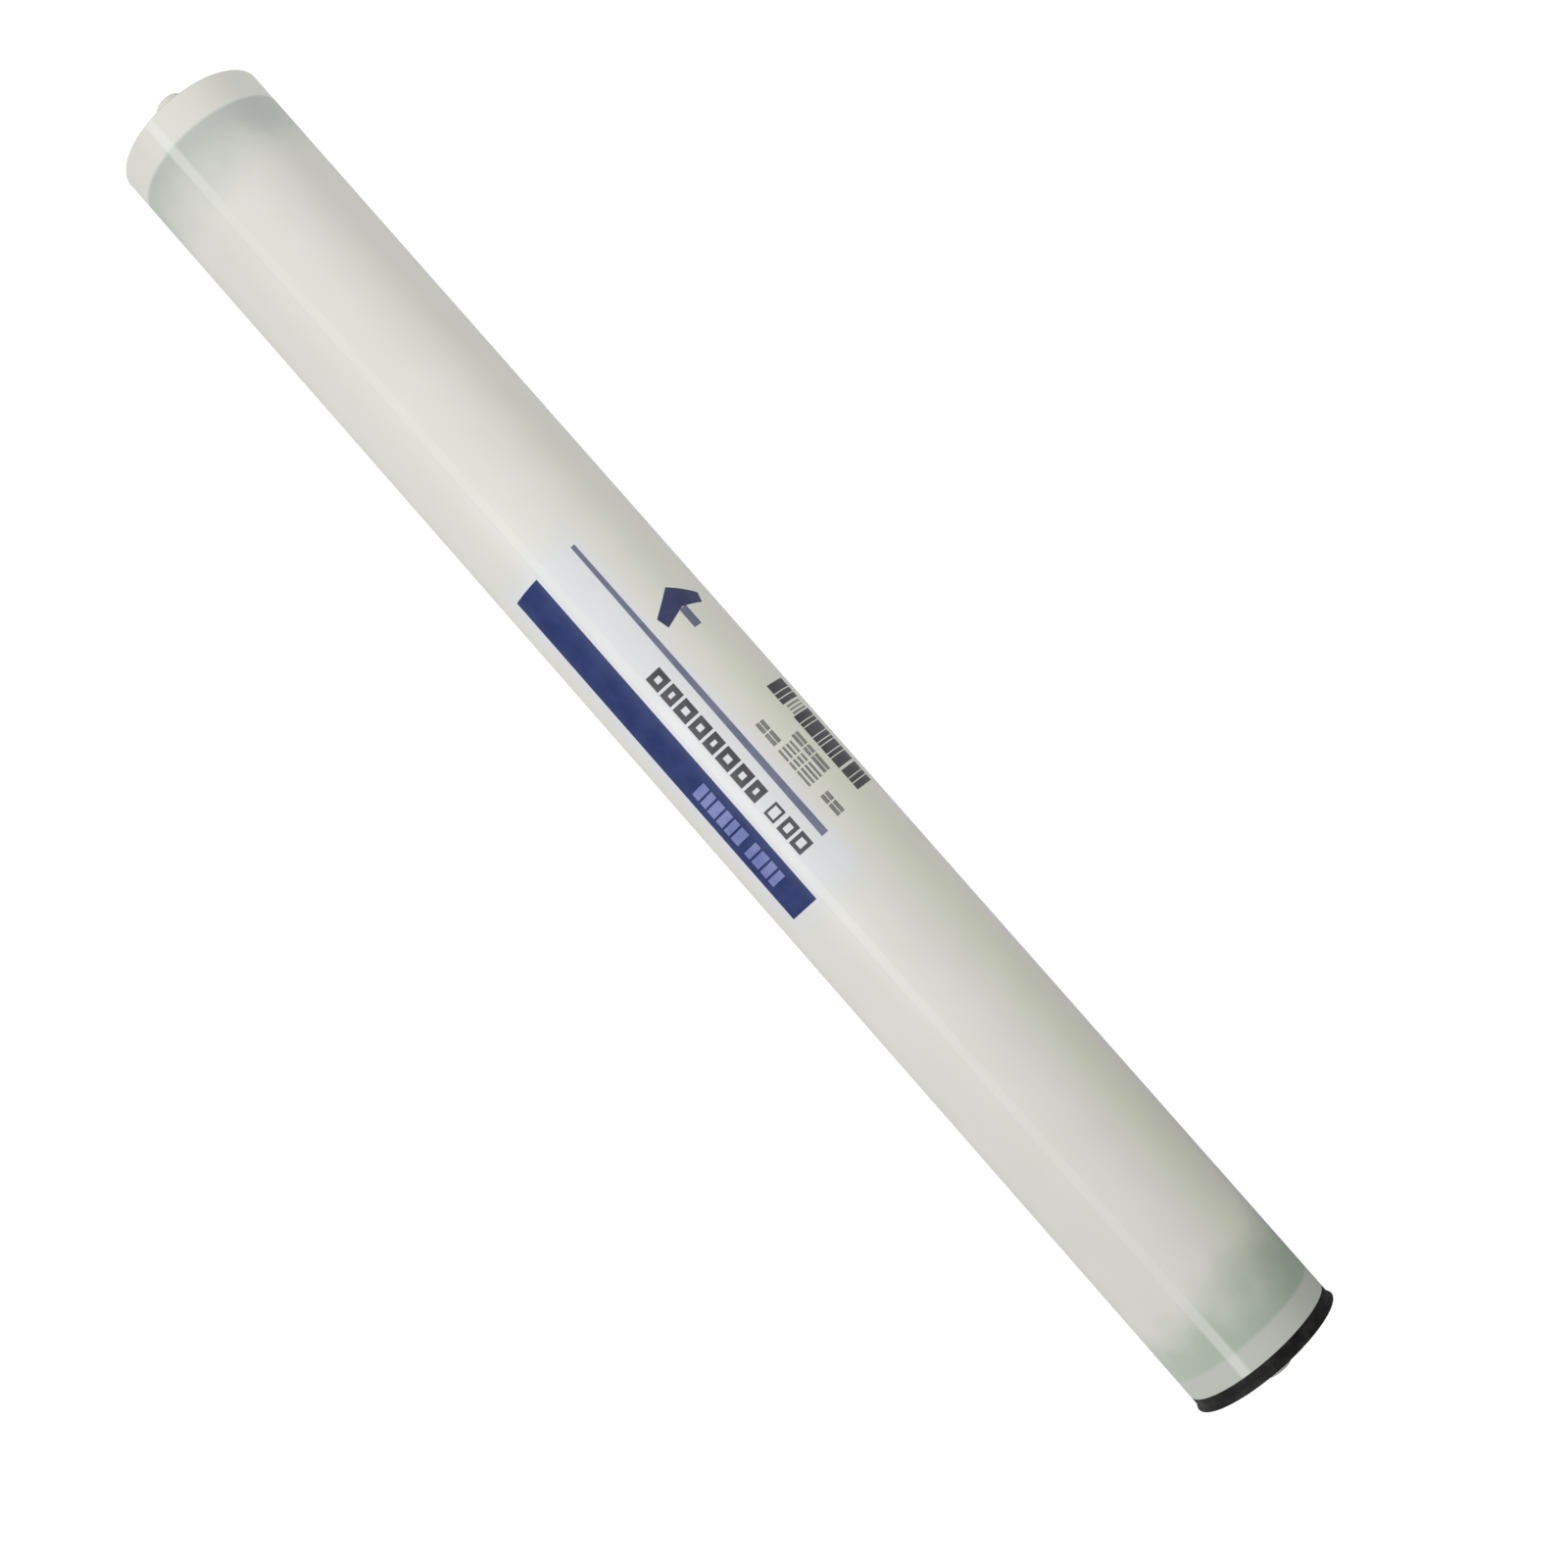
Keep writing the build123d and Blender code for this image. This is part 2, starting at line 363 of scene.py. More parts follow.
LABEL_FAR, LABEL_FEED, LABEL_FADE = -132 * MM, 128 * MM, 14 * MM
LABEL_LEFT, LABEL_RIGHT, LABEL_FADE_TURN = -62.0, 13.0, 6.0
# How much the paler lap line shows over the body and over the ends, partly double film and partly painted
# highlight.
LAP_AND_HIGHLIGHT_OVER_BODY, LAP_AND_HIGHLIGHT_OVER_ENDS = 0.2, 0.5
print("green fades out in", round(GREEN_FADE / MM), "mm")

# %% Fields on the film
def field(tree, value, low, high, fade):
    """A mask that is 1 between two limits and fades out across each of them."""
    rise = smooth_step(tree, value, low - fade, low + fade)
    return compute(tree, "MULTIPLY", rise, smooth_step(tree, value, high + fade, high - fade))


def turn_field(tree, angle, left, right, fade):
    """The same between two angles, given in degrees."""
    return field(tree, angle, math.radians(left), math.radians(right), math.radians(fade))


def green_fields(tree, along, angle):
    """Masks of the green at the far end and at the feed end, where it leans to one side."""
    far_green = smooth_step(tree, along, ROLL_FAR + GREEN_FADE, ROLL_FAR)
    slant = compute(tree, "MULTIPLY", angle, GREEN_SLANT)
    feed_start = compute(tree, "SUBTRACT", ROLL_FEED - GREEN_FADE, slant)
    feed_green = smooth_step(tree, along, feed_start, ROLL_FEED - GREEN_BEFORE_CAP)
    leaning = compute(tree, "ADD", compute(tree, "MULTIPLY", angle, FEED_GREEN_LEAN), FEED_GREEN)
    return compute(tree, "MULTIPLY", far_green, FAR_GREEN), compute(tree, "MULTIPLY", feed_green, leaning)


def lap_and_highlight_field(tree, angle):
    """Mask of the lengthwise lap, where the paler line of double film and painted highlight lies."""
    from_lap = compute(tree, "ABSOLUTE", compute(tree, "SUBTRACT", angle, math.radians(LAP_ANGLE)))
    half_lap = LAP_WIDTH / 2 / WRAP_RADIUS
    return smooth_step(tree, from_lap, half_lap * 1.1, half_lap * 0.5)


print("field helpers ready")

# %% Wrap film
def film_colour(tree, apart, cloud):
    """Body, label field and flank, then the green ends, the caps, and the paler lap over them, partly double
    film and partly painted highlight.
    """
    angle = compute(tree, "ARCTAN2", apart["Y"], apart["Z"])
    label = field(tree, apart["X"], LABEL_FAR, LABEL_FEED, LABEL_FADE)
    label_turn = turn_field(tree, angle, LABEL_LEFT, LABEL_RIGHT, LABEL_FADE_TURN)
    colour = mix_colour(tree, compute(tree, "MULTIPLY", label, label_turn), FILM_BODY, FILM_LABEL)
    towards_feed = smooth_step(tree, apart["X"], FLANK_START, FLANK_FULL)
    flank_turn = turn_field(tree, angle, FLANK_LEFT, FLANK_RIGHT, FLANK_FADE_TURN)
    colour = mix_colour(tree, compute(tree, "MULTIPLY", flank_turn, towards_feed), colour, FILM_FLANK)
    ragged = compute(tree, "MULTIPLY", compute(tree, "SUBTRACT", cloud, 0.5), GREEN_RAGGED)
    far_green, feed_green = green_fields(tree, compute(tree, "ADD", apart["X"], ragged), angle)
    colour = mix_colour(tree, far_green, colour, FILM_OVER_FAR_ROLL)
    colour = mix_colour(tree, feed_green, colour, FILM_OVER_FEED_ROLL)
    far_cap = smooth_step(tree, apart["X"], ROLL_FAR + CAP_EDGE, ROLL_FAR - CAP_EDGE)
    feed_cap = smooth_step(tree, apart["X"], ROLL_FEED - CAP_EDGE, ROLL_FEED + CAP_EDGE)
    colour = mix_colour(tree, far_cap, colour, FILM_OVER_FAR_CAP)
    colour = mix_colour(tree, feed_cap, colour, FILM_OVER_FEED_CAP)
    green = compute(tree, "MAXIMUM", far_green, feed_green)
    over_ends = compute(tree, "MAXIMUM", green, compute(tree, "MAXIMUM", far_cap, feed_cap))
    # The paler line over the lap: partly double film, partly painted highlight.
    lap_and_highlight_shows = between(tree, over_ends, LAP_AND_HIGHLIGHT_OVER_BODY, LAP_AND_HIGHLIGHT_OVER_ENDS)
    colour = mix_colour(tree, compute(tree, "MULTIPLY", lap_and_highlight_field(tree, angle), lap_and_highlight_shows), colour, FILM_LAP_AND_HIGHLIGHT)
    return mix_colour(tree, compute(tree, "MULTIPLY", cloud, 0.05), colour, FILM_CLOUD)


def wrap_film():
    """Milky satin film, with faint streaks along the way it was drawn."""
    material, tree, shader = new_finish("wrap_film_finish", 0.4, Specular_IOR_Level=0.15)
    place, apart = object_place(tree)
    mottle = use_group(tree, mottle_group, Cloud_Scale=26.0, Grain_Scale=1400.0)
    tree.links.new(film_colour(tree, apart, mottle["Cloud"]), shader.inputs["Base Color"])
    roughen(tree, shader, mottle["Cloud"], 0.34, 0.46)
    drawn = add_node(tree, "Mapping", {"Vector": place, "Scale": (6.0, 160.0, 160.0)})
    streaks = add_node(tree, "TexNoise", {"Vector": drawn.outputs[0], "Scale": 1.0, "Detail": 4.0})
    uneven = compute(tree, "ADD", streaks.outputs["Fac"], compute(tree, "MULTIPLY", mottle["Grain"], 0.2))
    raise_surface(tree, shader, uneven, 0.05 * MM, 0.5)
    return material


film = wrap_film()
print("finish:", film.name)

# %% [markdown]
# ## Turned pieces
# The wrap and the seal are round all the way. By hand one would draw half of the section, round
# its corners and spin it about the axis, and that is what this helper does: a circle with as many
# points as the section has corners, each point moved to its place, a small vertex bevel on the
# corners, and one full spin. Doubles are merged where the spin closes.

# %% Select, settle, smooth and join
SMOOTH_ANGLE = math.radians(40)


def only_select(obj):
    """Make one object the only selected and active one."""
    bpy.ops.object.select_all(action="DESELECT")
    obj.select_set(True)
    bpy.context.view_layer.objects.active = obj


def settle(obj):
    """Put the object's place, turn and size into its mesh."""
    only_select(obj)
    bpy.ops.object.transform_apply(location=True, rotation=True, scale=True)


def join_as(name, parts):
    """Join parts to one piece under one name."""
    only_select(parts[0])
    for part in parts:
        part.select_set(True)
    if len(parts) > 1:
        bpy.ops.object.join()
    piece = bpy.context.object
    piece.name = piece.data.name = name
    return piece


print("object helpers ready")

# %% Spin a section about X
MERGE_GAP = 0.001 * MM


def spin_section(name, section, rounding, steps):
    """A closed section of (x, radius) points in millimetres, rounded and spun about X."""
    bpy.ops.object.select_all(action="DESELECT")
    bpy.ops.mesh.primitive_circle_add(vertices=len(section), radius=1 * MM, fill_type="NOTHING")
    piece = bpy.context.object
    piece.name = piece.data.name = name
    for vertex, (x, radius) in zip(piece.data.vertices, section):
        vertex.co = (x * MM, 0, radius * MM)
    bpy.ops.object.mode_set(mode="EDIT")
    bpy.ops.mesh.select_all(action="SELECT")
    bpy.ops.mesh.bevel(offset=rounding * MM, segments=3, affect="VERTICES")
    bpy.ops.mesh.select_all(action="SELECT")
    bpy.ops.mesh.spin(steps=steps, angle=math.tau, center=(0, 0, 0), axis=(1, 0, 0))
    bpy.ops.mesh.select_all(action="SELECT")
    bpy.ops.mesh.remove_doubles(threshold=MERGE_GAP)
    bpy.ops.mesh.normals_make_consistent(inside=False)
    bpy.ops.object.mode_set(mode="OBJECT")
    bpy.ops.object.shade_smooth_by_angle(angle=SMOOTH_ANGLE)
    print(f"{name}: {len(piece.data.polygons)} faces")
    return piece


def dress(piece, finish, slot, *nodes):
    """Give a new piece its finish and the body that it rides on. The slot is not used."""
    piece.data.materials.clear()
    piece.data.materials.append(finish)
    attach(piece, "root")
    if nodes:
        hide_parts(*nodes)
    return piece


print("spin helper ready")

# %% [markdown]
# ## The wrap
# The solid's wrap has the right form but its rims are knife sharp. Spun again from the same
# section it gets softly rounded rims, and the lap is made as on the real one, as a second
# thickness: the faces of the lap's strip are picked by their angle and inset with a depth, which
# lifts them by 0.2 mm and leaves a short slope all round, where the film smooths over the step.

# %% Wrap shell
WRAP_WALL = 1.5
WRAP_CHAMFER = 0.8
WRAP_ROUNDING = 0.25
WRAP_STEPS = 360
LAP_HEIGHT = 0.2
LAP_SLOPE = 0.6
LONG_FACE = 100 * MM * MM


def pick_lap_faces(shell):
    """Select the long outer faces of the wrap that lie within the lap."""
    half_lap = math.degrees(LAP_WIDTH / 2 / WRAP_RADIUS)
    bpy.ops.object.mode_set(mode="EDIT")
    bpy.ops.mesh.select_mode(type="FACE")
    bpy.ops.mesh.select_all(action="DESELECT")
    bpy.ops.object.mode_set(mode="OBJECT")
    for face in shell.data.polygons:
        around = math.degrees(math.atan2(face.center.y, face.center.z))
        outside = face.normal.dot(Vector((0, face.center.y, face.center.z))) > 0
        face.select = face.area > LONG_FACE and outside and abs(around - LAP_ANGLE) < half_lap


def wrap_shell():
    """The wrap's wall with its chamfered far rim and its lengthwise lap."""
    outer = WRAP_RADIUS / MM
    inner = outer - WRAP_WALL
    far, feed = WRAP_FAR / MM, WRAP_FEED / MM
    section = [
        (far, inner),
        (far, outer - WRAP_CHAMFER),
        (far + WRAP_CHAMFER, outer),
        (feed, outer),
        (feed, inner),
    ]
    shell = spin_section("wrap_shell", section, WRAP_ROUNDING, WRAP_STEPS)
    pick_lap_faces(shell)
    bpy.ops.object.mode_set(mode="EDIT")
    bpy.ops.mesh.inset(thickness=LAP_SLOPE * MM, depth=LAP_HEIGHT * MM)
    bpy.ops.mesh.select_mode(type="VERT")
    bpy.ops.object.mode_set(mode="OBJECT")
    bpy.ops.object.shade_smooth_by_angle(angle=SMOOTH_ANGLE)
    return dress(shell, film, "wrap_film", "outer_wrap")


shell = wrap_shell()
print("wrap radius with lap:", round(max(v.co.yz.length for v in shell.data.vertices) / MM, 2), "mm")

# %% [markdown]
# ## The rubber seal
# A brine seal is a moulded rubber cup: a heel against the wrap, a leg in the groove and a lip that
# flares towards the pressure vessel. Rubber has no sharp corners, so its section is rounded more.
# Moulded rubber is nearly black, a little grey where it has been handled, and dull.

# %% Seal rubber
def seal_rubber():
    """Dull black rubber with a grey bloom and a little dust."""
    material, tree, shader = new_finish("seal_rubber_finish", 0.6, Specular_IOR_Level=0.2)
    mottle = use_group(tree, mottle_group, Cloud_Scale=90.0, Grain_Scale=2600.0)
    dust = use_group(tree, dust_group, Patch_Scale=140.0, Amount=0.06)
    colour = mix_colour(tree, mottle["Cloud"], srgb(12, 12, 12), srgb(20, 20, 19))
    colour = mix_colour(tree, dust["Dust"], colour, srgb(120, 118, 112))
    tree.links.new(colour, shader.inputs["Base Color"])
    roughen(tree, shader, mottle["Cloud"], 0.5, 0.68)
    raise_surface(tree, shader, mottle["Grain"], 0.04 * MM, 0.5)
    return material


rubber = seal_rubber()
print("finish:", rubber.name)

# %% Seal ring
SEAL_ROUNDING = 0.45
SEAL_STEPS = 192
SEAL_SECTION = [
    (486.6, 45.1),
    (493.9, 45.1),
    (493.9, 46.7),
    (489.6, 46.7),
    (489.6, 49.5),
    (495.0, 49.5),
    (495.0, 52.0),
    (492.0, 50.5),
    (486.6, 50.5),
]
seal = spin_section("seal_ring", SEAL_SECTION, SEAL_ROUNDING, SEAL_STEPS)
dress(seal, rubber, "seal_rubber", "brine_seal")
print("seal reaches", round(max(v.co.z for v in seal.data.vertices) / MM, 2), "mm from the axis")

# %% [markdown]
# ## Moulded caps and tube
# Each cap is one white moulding: a rim under the wrap, a hub round the tube and eight spokes that
# hold the roll back but let the water through. Rim and hub are turned from rounded sections, one
# spoke is a bar with rounded edges that is copied round the axis, and a boolean union melts them
# into one skin, as in the mould. The plastic has a faint warm cloud, a fine satin grain and some
# dust on what faces up.

# %% Cap and tube plastic
def moulded_plastic(name, light, shadow, roughness):
    """Satin moulded plastic with cloud, grain and dust."""
    material, tree, shader = new_finish(name, roughness, IOR=1.48)
    mottle = use_group(tree, mottle_group, Cloud_Scale=45.0, Grain_Scale=1800.0)
    dust = use_group(tree, dust_group, Patch_Scale=70.0, Amount=0.25)
    colour = mix_colour(tree, mottle["Cloud"], light, shadow)
    colour = mix_colour(tree, dust["Dust"], colour, srgb(176, 172, 160))
    tree.links.new(colour, shader.inputs["Base Color"])
    roughen(tree, shader, mottle["Cloud"], roughness - 0.06, roughness + 0.08)
    raise_surface(tree, shader, mottle["Grain"], 0.03 * MM, 0.4)
    return material


cap_plastic = moulded_plastic("cap_plastic_finish", srgb(226, 226, 221), srgb(214, 214, 207), 0.42)
tube_plastic = moulded_plastic("tube_plastic_finish", srgb(222, 221, 214), srgb(208, 206, 196), 0.36)
print("finishes:", cap_plastic.name, tube_plastic.name)

# %% Unite parts of a moulding
SLIVER = 0.0005 * MM


def clean_skin(piece):
    """Dissolve the slivers that a boolean leaves, and set the shading by angle again."""
    only_select(piece)
    bpy.ops.object.mode_set(mode="EDIT")
    bpy.ops.mesh.select_all(action="SELECT")
    bpy.ops.mesh.dissolve_degenerate(threshold=SLIVER)
    bpy.ops.object.mode_set(mode="OBJECT")
    bpy.ops.object.shade_smooth_by_angle(angle=SMOOTH_ANGLE)


def combine(base, others, operation):
    """Melt other pieces into the base, or cut them out of it, and delete them."""
    for other in others:
        only_select(base)
        boolean = base.modifiers.new("boolean", "BOOLEAN")
        boolean.operation = operation
        boolean.object = other
        bpy.ops.object.modifier_apply(modifier=boolean.name)
        bpy.data.objects.remove(other)
    clean_skin(base)


print("boolean helper ready")

# %% Spokes
SPOKES = 8
SPOKE_WIDTH = 3.6
SPOKE_ROUNDING = 0.5


def place_copy(model, place=(0, 0, 0), turn=0.0):
    """A copy of a piece with its own mesh, moved to a place and turned about X."""
    copy = model.copy()
    copy.data = model.data.copy()
    copy.location = place
    copy.rotation_euler.x = turn
    bpy.context.scene.collection.objects.link(copy)
    return copy


def spokes(name, x_start, x_end, r_start, r_end):
    """One bar with rounded edges between two radii, copied round the axis and joined to one piece."""
    bpy.ops.object.select_all(action="DESELECT")
    middle = ((x_start + x_end) / 2 * MM, 0, (r_start + r_end) / 2 * MM)
    bpy.ops.mesh.primitive_cube_add(size=1, location=middle)
    bar = bpy.context.object
    bar.scale = (abs(x_end - x_start) * MM, SPOKE_WIDTH * MM, (r_end - r_start) * MM)
    settle(bar)
    bpy.ops.object.mode_set(mode="EDIT")
    bpy.ops.mesh.select_all(action="SELECT")
    bpy.ops.mesh.bevel(offset=SPOKE_ROUNDING * MM, segments=3, affect="EDGES")
    bpy.ops.object.mode_set(mode="OBJECT")
    copies = [place_copy(bar, turn=math.tau * number / SPOKES) for number in range(1, SPOKES)]
    print(f"{name}: {1 + len(copies)} spokes")
    return join_as(name, [bar] + copies)


print("spoke helper ready")

# %% Feed cap
MOULD_STEPS = 144
MOULD_ROUNDING = 0.4
HUB_INSIDE, HUB_OUTSIDE = 9.9, 14.5
CAP_SKIRT = 48.9
FEED_RIM_INSIDE = 41.5
SEAL_GROOVE, SEAL_KEEPER = 45.0, 47.5
FEED_CAP_BACK, FEED_WEB, FEED_FACE = 472.0, 481.3, 496.0
FEED_GROOVE_BACK, FEED_GROOVE_FRONT = 486.5, 494.0
BITE = 0.8

feed_rim = [
    (FEED_CAP_BACK, FEED_RIM_INSIDE),
    (FEED_CAP_BACK, CAP_SKIRT),
    (FEED_GROOVE_BACK, CAP_SKIRT),
    (FEED_GROOVE_BACK, SEAL_GROOVE),
    (FEED_GROOVE_FRONT, SEAL_GROOVE),
    (FEED_GROOVE_FRONT, SEAL_KEEPER),
    (FEED_FACE, SEAL_KEEPER),
    (FEED_FACE, FEED_RIM_INSIDE),
]


def spin_hub(name, back, front):
    """The hub of a cap between two stations."""
    section = [(back, HUB_INSIDE), (back, HUB_OUTSIDE), (front, HUB_OUTSIDE), (front, HUB_INSIDE)]
    return spin_section(name, section, MOULD_ROUNDING, MOULD_STEPS)


feed_cap = spin_section("feed_cap_moulding", feed_rim, MOULD_ROUNDING, MOULD_STEPS)
feed_hub = spin_hub("feed_hub", FEED_CAP_BACK, FEED_WEB)
feed_bars = spokes("feed_spokes", FEED_CAP_BACK, FEED_WEB, HUB_OUTSIDE - BITE, FEED_RIM_INSIDE + BITE)
combine(feed_cap, [feed_hub, feed_bars], "UNION")
dress(feed_cap, cap_plastic, "cap_plastic", "feed_end_cap")
print("feed cap:", len(feed_cap.data.polygons), "faces")

# %% Concentrate cap
FAR_RIM_INSIDE = 44.5
FAR_CAP_BACK, FAR_WEB, FAR_HUB, FAR_FACE = -463.0, -472.3, -481.3, -485.0

far_rim = [
    (FAR_CAP_BACK, FAR_RIM_INSIDE),
    (FAR_CAP_BACK, CAP_SKIRT),
    (FAR_FACE, CAP_SKIRT),
    (FAR_FACE, FAR_RIM_INSIDE),
]
far_cap = spin_section("concentrate_cap_moulding", far_rim, MOULD_ROUNDING, MOULD_STEPS)
far_hub = spin_hub("concentrate_hub", FAR_CAP_BACK, FAR_HUB)
far_bars = spokes("concentrate_spokes", FAR_CAP_BACK, FAR_WEB, HUB_OUTSIDE - BITE, FAR_RIM_INSIDE + BITE)
combine(far_cap, [far_hub, far_bars], "UNION")
dress(far_cap, cap_plastic, "cap_plastic", "concentrate_end_cap")
print("concentrate cap:", len(far_cap.data.polygons), "faces")

# %% [markdown]
# ## The permeate tube
# The tube is extruded plastic with both ends turned down to a smooth stub, on which the rings of
# an adaptor seal. A spun section gives stub, shoulder and chamfer at once, and the two holes under
# the roll, through which the clean water comes in, are cut by a boolean.

# %% Tube
TUBE_TIP, TUBE_SHOULDER = 508.0, 481.3
TUBE_BORE, STUB_RADIUS, TUBE_RADIUS = 6.95, 9.55, 9.8
STUB_CHAMFER = 1.0
TUBE_ROUNDING = 0.1
HOLE_RADIUS = 1.6
HOLE_PLACES = [(-195.5, 1), (204.5, -1)]

half_tube = [
    (TUBE_SHOULDER, TUBE_RADIUS),
    (TUBE_SHOULDER, STUB_RADIUS),
    (TUBE_TIP - STUB_CHAMFER, STUB_RADIUS),
    (TUBE_TIP, STUB_RADIUS - STUB_CHAMFER),
    (TUBE_TIP, TUBE_BORE),
]
tube_section = half_tube + [(-x, radius) for x, radius in reversed(half_tube)]
tube = spin_section("tube_turning", tube_section, TUBE_ROUNDING, MOULD_STEPS)
drills = []
for x, side in HOLE_PLACES:
    bpy.ops.object.select_all(action="DESELECT")
    bpy.ops.mesh.primitive_cylinder_add(
        radius=HOLE_RADIUS * MM, depth=TUBE_RADIUS * MM, location=(x * MM, 0, side * TUBE_RADIUS * MM)
    )
    drills.append(bpy.context.object)
combine(tube, drills, "DIFFERENCE")
dress(tube, tube_plastic, "tube_plastic", "permeate_tube")
print("tube:", len(tube.data.polygons), "faces")

# %% [markdown]
# ## The ends of the roll
# Between the spokes one looks at the trimmed edges of the sheets: white membrane and its backing in
# fine layers, and the green nets set back between the leaves, their face painted a darker green than
# the strand ends as painted shade of the gap. The solids hold the leaves and nets, and the finish
# divides each leaf into its sheets with the layers group.

# %% Membrane sheets and nets
LEAF_ROOT = 11.3
LEAF_PITCH = 7.78
LEAF_SHARE = 0.64


def membrane_sheet():
    """Trimmed sheet edges: off-white layers parted by thin grey-green lines."""
    material, tree, shader = new_finish("membrane_sheet_finish", 0.7)
    mottle = use_group(tree, mottle_group, Cloud_Scale=120.0, Grain_Scale=2400.0)
    layers = use_group(tree, layers_group, Pitch=LEAF_PITCH * MM, Start_Radius=LEAF_ROOT * MM, Layers=9.0)
    colour = mix_colour(tree, layers["Shade"], srgb(222, 224, 214), srgb(196, 202, 190))
    colour = mix_colour(tree, compute(tree, "MULTIPLY", layers["Line"], 0.75), colour, srgb(120, 132, 118))
    colour = mix_colour(tree, compute(tree, "MULTIPLY", mottle["Cloud"], 0.2), colour, srgb(178, 180, 160))
    tree.links.new(colour, shader.inputs["Base Color"])
    roughen(tree, shader, mottle["Grain"], 0.6, 0.85)
    height = compute(tree, "SUBTRACT", compute(tree, "MULTIPLY", layers["Shade"], 0.5), layers["Line"])
    raise_surface(tree, shader, height, 0.25 * MM)
    return material


def net_plastic(name, light, dark):
    """Green net plastic, cloudy and a little rough where it was cut."""
    material, tree, shader = new_finish(name, 0.5)
    mottle = use_group(tree, mottle_group, Cloud_Scale=150.0, Grain_Scale=2400.0)
    tree.links.new(mix_colour(tree, mottle["Cloud"], light, dark), shader.inputs["Base Color"])
    roughen(tree, shader, mottle["Grain"], 0.4, 0.6)
    raise_surface(tree, shader, mottle["Grain"], 0.1 * MM, 0.6)
    return material


sheet_finish = membrane_sheet()
# The nets' face between the leaves is the same plastic as the strand ends but darker green: painted shade of
# the gap between the leaves.
net_finish_painted_shade = net_plastic("net_plastic_painted_shade_finish", srgb(96, 120, 104), srgb(74, 96, 82))
strand_finish = net_plastic("net_strand_finish", srgb(164, 188, 168), srgb(138, 166, 146))
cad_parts["membrane_roll"].data.materials[0] = sheet_finish
for name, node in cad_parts.items():
    if name.startswith("feed_net"):
        node.data.materials[0] = net_finish_painted_shade
print("finishes:", sheet_finish.name, net_finish_painted_shade.name, strand_finish.name)

# %% [markdown]
# ## Cut strands of the nets
# A net is two layers of strands that cross, so its cut edge is a zigzag of round strand ends. One
# short strand with a rounded end is modelled, and copies are set along the middle of each net.
# The path is the net's own: quarter turns about the corners of a small square, each one pitch
# further out, four nets turned by a quarter turn against each other.

# %% Strand ends
NETS = 4
NET_QUARTERS = 4
NET_MIDDLE = LEAF_ROOT + LEAF_PITCH / 2 + LEAF_PITCH * (1 + LEAF_SHARE) / 2
NET_LIMIT = 47.3
NET_RECESS = 1.2
STRAND_RADIUS, STRAND_LENGTH, STRAND_ROUNDING = 0.6, 2.0, 0.2
STRAND_STEP, STRAND_ZIGZAG = 1.7, 0.62
STRAND_PROUD = 0.9


def strand_places():
    """Places (y, z) in millimetres along the middle of every net, in and out in turn."""
    places = []
    reach = LEAF_PITCH / math.sqrt(2)
    for net in range(NETS):
        for quarter in range(NET_QUARTERS):
            corner = math.radians(135 + 90 * quarter)
            radius = NET_MIDDLE + quarter * LEAF_PITCH
            count = round(radius * math.pi / 2 / STRAND_STEP)
            for number in range(count):
                turn = (quarter + (number + 0.5) / count) * math.pi / 2
                out = radius + STRAND_ZIGZAG * (1 if number % 2 else -1)
                y = reach * math.cos(corner) + out * math.cos(turn)
                z = reach * math.sin(corner) + out * math.sin(turn)
                from_axis = math.hypot(y, z)
                if from_axis + STRAND_RADIUS < NET_LIMIT:
                    swing = math.atan2(z, y) + net * math.pi / 2
                    places.append((from_axis * math.cos(swing), from_axis * math.sin(swing)))
    return places


def net_strands(name, roll_end, outward):
    """All the strand ends at one end of the roll, as one piece."""
    bpy.ops.object.select_all(action="DESELECT")
    middle = roll_end + outward * (STRAND_PROUD - NET_RECESS - STRAND_LENGTH / 2) * MM
    bpy.ops.mesh.primitive_cylinder_add(
        vertices=8, radius=STRAND_RADIUS * MM, depth=STRAND_LENGTH * MM, rotation=(0, math.pi / 2, 0)
    )
    strand = bpy.context.object
    settle(strand)
    bpy.ops.object.mode_set(mode="EDIT")
    bpy.ops.mesh.select_all(action="SELECT")
    bpy.ops.mesh.bevel(offset=STRAND_ROUNDING * MM, segments=2, affect="EDGES")
    bpy.ops.object.mode_set(mode="OBJECT")
    copies = [place_copy(strand, (middle, y * MM, z * MM)) for y, z in strand_places()]
    bpy.data.objects.remove(strand)
    piece = join_as(name, copies)
    settle(piece)
    bpy.ops.object.shade_smooth_by_angle(angle=SMOOTH_ANGLE)
    print(f"{name}: {len(piece.data.polygons)} faces")
    return dress(piece, strand_finish, "net_plastic")


net_strands("feed_net_strands", ROLL_FEED, 1)
net_strands("concentrate_net_strands", ROLL_FAR, -1)

# %% [markdown]
# ## The print
# The wrap carries a blue band, a thin rule, a flow arrow and rows of plain blocks and strokes with
# the weight of small print. Ink has hardly any thickness, so each mark is a thin skin spun from a
# short edge, a few hundredths of a millimetre proud of the film. All inks share one recipe, with
# slow and fine unevenness, and differ in their two colours.

# %% Inks
def ink(name, dark, light, roughness=0.4):
    """Printing ink: one colour with slow and fine unevenness."""
    material, tree, shader = new_finish(name, roughness, Specular_IOR_Level=0.15)
    mottle = use_group(tree, mottle_group, Cloud_Scale=70.0, Grain_Scale=1600.0)
    slow = compute(tree, "MULTIPLY", mottle["Cloud"], 0.6)
    uneven = compute(tree, "ADD", slow, compute(tree, "MULTIPLY", mottle["Grain"], 0.4))
    tree.links.new(mix_colour(tree, uneven, dark, light), shader.inputs["Base Color"])
    roughen(tree, shader, mottle["Cloud"], roughness - 0.06, roughness + 0.1)
    raise_surface(tree, shader, mottle["Grain"], 0.01 * MM, 0.3)
    return material


